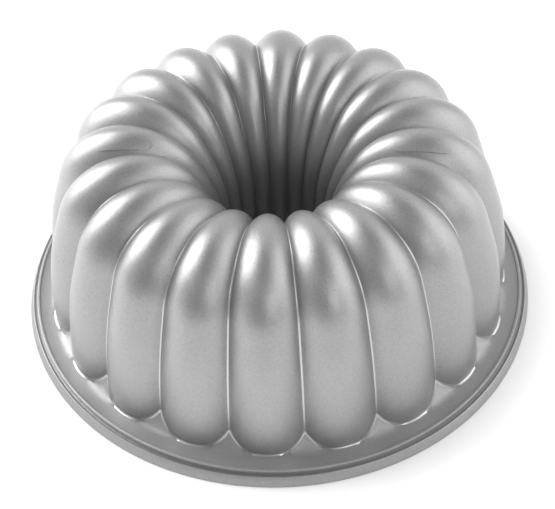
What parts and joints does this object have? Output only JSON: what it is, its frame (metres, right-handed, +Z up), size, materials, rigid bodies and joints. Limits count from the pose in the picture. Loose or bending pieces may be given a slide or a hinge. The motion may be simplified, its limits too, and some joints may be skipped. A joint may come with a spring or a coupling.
{
  "type": "bundt pan",
  "caption": "Fluted ring cake pan in cast aluminium with a domed crown, open centre tube, flat rim flange and flared lip, standing crown up on its rim.",
  "frame": {"origin": "centre of the rim plane, where the pan rests crown up", "axes": "+Z up along the centre tube; flute crests lie on the X and Y axes; -Y is the front"},
  "size_m": [0.2599, 0.2599, 0.1004],
  "materials": {
    "cast_aluminium": "satin silver, fine blasted grain",
    "nonstick_coating": "dark grey sprayed non-stick, low sheen"
  },
  "bodies": {
    "root": {"fluted_wall": "cast_aluminium", "fluted_crown": "cast_aluminium", "centre_tube": "cast_aluminium", "tube_collar": "cast_aluminium", "rim_flange": "cast_aluminium", "rim_lip": "cast_aluminium", "marking_pads": "cast_aluminium", "nonstick_lining": "nonstick_coating"}
  },
  "joints": []
}
